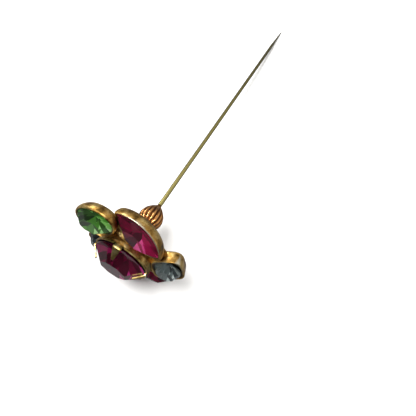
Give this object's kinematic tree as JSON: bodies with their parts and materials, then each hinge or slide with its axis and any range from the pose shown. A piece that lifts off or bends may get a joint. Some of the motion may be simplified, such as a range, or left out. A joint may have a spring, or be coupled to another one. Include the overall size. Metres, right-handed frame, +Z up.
{
  "type": "stick pin",
  "caption": "Stick pin lying on a surface: a long pointed stem, a fluted bead and a head of faceted stones, the middle one in prongs and the outer ones in closed cups.",
  "frame": {"origin": "on the resting surface, under the middle of the pin's box", "axes": "+X from the jewelled head towards the tip of the stem, +Z up from the surface that the pin lies on"},
  "size_m": [0.1128, 0.0244, 0.0221],
  "materials": {
    "stem_brass": "drawn wire, dulled towards the point",
    "bead_copper": "polished copper-gold plate, darker in the flutes",
    "frame_gold": "satin gold plate over a casting, worn bright on the rims",
    "prong_brass": "bright stamped sheet",
    "fuchsia_glass": "faceted glass with a foiled back",
    "green_glass": "faceted glass with a foiled back",
    "grey_glass": "faceted glass with a dulled foil back"
  },
  "bodies": {
    "root": {"stem": "stem_brass", "fluted_bead": "bead_copper", "cup_frame": "frame_gold", "prong_cup": "prong_brass", "centre_stone": "fuchsia_glass", "top_marquise": "fuchsia_glass", "bottom_marquise": "fuchsia_glass", "green_oval": "green_glass", "right_grey_round": "grey_glass", "left_grey_round": "grey_glass"}
  },
  "joints": []
}
